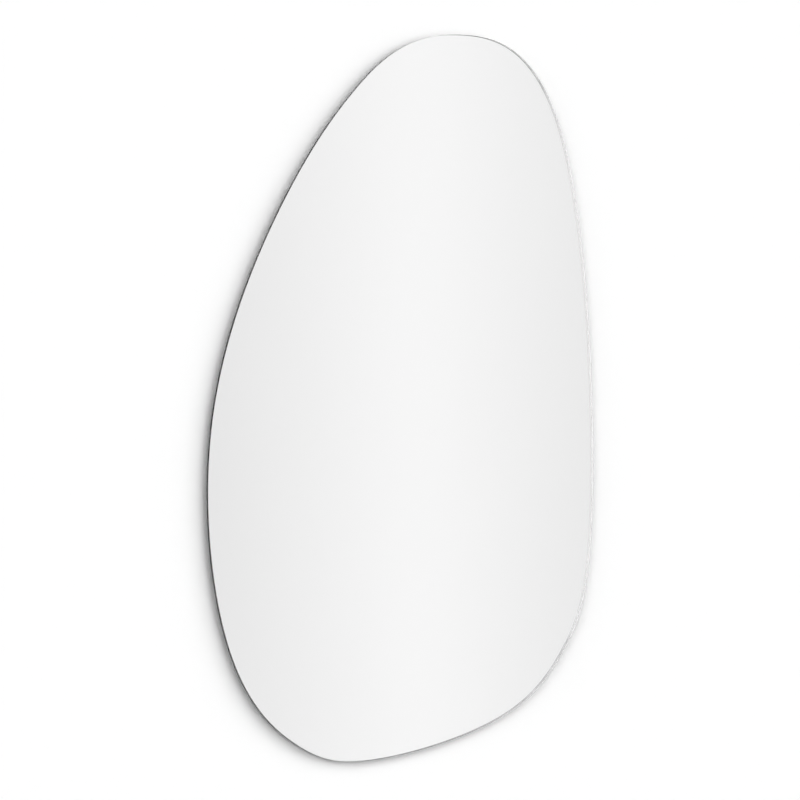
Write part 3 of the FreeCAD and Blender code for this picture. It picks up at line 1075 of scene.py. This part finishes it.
def floorPaint(values):
    # pale to the camera though the lamps shine nearly level, and still shaded by the mirror
    material, tree, surface = newMaterial("floorPaint")
    surface.inputs["Base Color"].default_value = (0.86, 0.86, 0.86, 1)
    surface.inputs["Roughness"].default_value = 0.8
    surface.inputs["Specular IOR Level"].default_value = 0.0
    path = newNode(tree, "LightPath")
    glow = newNode(tree, "Emission")
    tree.links.new(calc(tree, "MULTIPLY", path.outputs["Is Camera Ray"], values["floorPale"]),
                   glow.inputs["Strength"])
    both = newNode(tree, "AddShader")
    tree.links.new(surface.outputs[0], both.inputs[0])
    tree.links.new(glow.outputs[0], both.inputs[1])
    # clear from below, so that it hides nothing there
    clearWhere(tree, newNode(tree, "NewGeometry").outputs["Backfacing"], both)
    return material


def standingSheet(name, behind, values):
    height = values["wallTop"] - values["floorBelow"]
    middle = (values["wallTop"] + values["floorBelow"]) / 2
    bpy.ops.mesh.primitive_plane_add(size=1, location=(0, behind, middle), rotation=(math.pi / 2, 0, 0))
    sheet = bpy.context.object
    sheet.name = name
    sheet.scale = (values["wallHalfWidth"] * 2, height, 1)
    bpy.ops.object.transform_apply()
    return sheet


def makeStage(values):
    wall = standingSheet("wall", values["wallBehind"], values)
    wall.data.materials.append(wallPaint(values))
    wall.visible_shadow = False
    wall.visible_diffuse = False
    # only light coming back off the wall meets this sheet, so none lands there a second time
    trap = standingSheet("wallTrap", values["trapBehind"], values)
    trap.data.materials.append(trapBlack())
    trap.visible_camera = False
    trap.visible_glossy = False
    trap.visible_transmission = False
    trap.visible_shadow = False
    bpy.ops.mesh.primitive_plane_add(size=values["floorHalf"] * 2, location=(0, 0, values["floorBelow"]))
    floor = bpy.context.object
    floor.name = "floor"
    floor.visible_glossy = False
    floor.visible_transmission = False
    floor.visible_shadow = False  # the widest lamps reach a little below the horizon
    floor.data.materials.append(floorPaint(values))


lamps = {
    # name: (turn to the right, height and width in degrees, share of the light on a flat wall)
    "highLamp": (-2, 19, 48, 0.264),
    "leftLamp": (-45, 15, 24, 0.193),
    "lowLamp": (0, -5, 44, 0.175),
    "rightLamp": (40, 15, 44, 0.118),
    "farLeftLamp": (-60, 15, 44, 0.066),
    "lowRightLamp": (20, -5, 44, 0.051),
    "farRightLamp": (60, 15, 44, 0.041),
    "overheadLamp": (0, 40, 44, 0.038),
    "nearLeftLamp": (-20, 15, 44, 0.033),
    "lowFarRightLamp": (60, -5, 44, 0.026),
    "rearHighLamp": (150, 35, 50, 0.550),
    "rearSideLamp": (-135, 8, 50, 0.400),
}


def makeLamps(values):
    # soft suns: no lamp is near enough to light one end of the mirror more than the other
    for name, (turn, height, width, share) in values.items():
        turn, height = math.radians(turn), math.radians(height)
        towards = Vector((math.sin(turn) * math.cos(height), -math.cos(turn) * math.cos(height),
                          math.sin(height)))
        facing = towards.to_track_quat("Z", "Y").to_euler()
        bpy.ops.object.light_add(type="SUN", location=towards * 4, rotation=facing)
        lamp = bpy.context.object
        lamp.name = name
        lamp.data.angle = math.radians(width)
        lamp.data.energy = share * math.pi / abs(towards.y)
        lamp.data.cycles.use_multiple_importance_sampling = False
        lamp.visible_camera = False
        lamp.visible_glossy = False
        lamp.visible_transmission = False


finishes = {
    "roller": turnedZinc("turnedZinc", turnedFinish, 0.002, (0.58, 0.595, 0.625), (0.70, 0.70, 0.69), 0.22),
    "screw": turnedZinc("screwZinc", turnedFinish, 0.0, (0.56, 0.555, 0.54), (0.72, 0.70, 0.64), 0.26),
    "sheet": zincSheet(),
    "foam": adhesiveFoam(),
    "rubber": rubber(),
    "nylon": nylon(turnedFinish),
}
print("finishes ready")

makeCamera(cameraView)
makeGlass(glassShape)
silverInset = glassShape["rearArris"] + glassShape["silverInset"]
paintInset = glassShape["rearArris"] + glassShape["paintInset"]
filmInset = glassShape["filmInset"]
makeLayer(glassShape, "silver_layer", "silverLayer", silverInset, silver())
makeLayer(glassShape, "back_paint", "backPaint", paintInset, backPaint())
makeLayer(glassShape, "safety_film", "safetyFilm", filmInset, safetyFilm(filmWeave))
print("glass and its layers ready")

makePlates(plateShape, hanging)
makePads(padShape, hanging)
makeRollers(rollerShape, hanging)
makeWashers(washerShape, hanging)
makeScrews(screwShape, hanging)
makePlugs(plugShape, hanging)
makeSpacers(spacerShape, hanging)
print("fixings ready")

makeWorld(studio)
makeStage(studio)
makeLamps(lamps)
bpy.context.scene.view_settings.view_transform = "Standard"
print("studio ready")
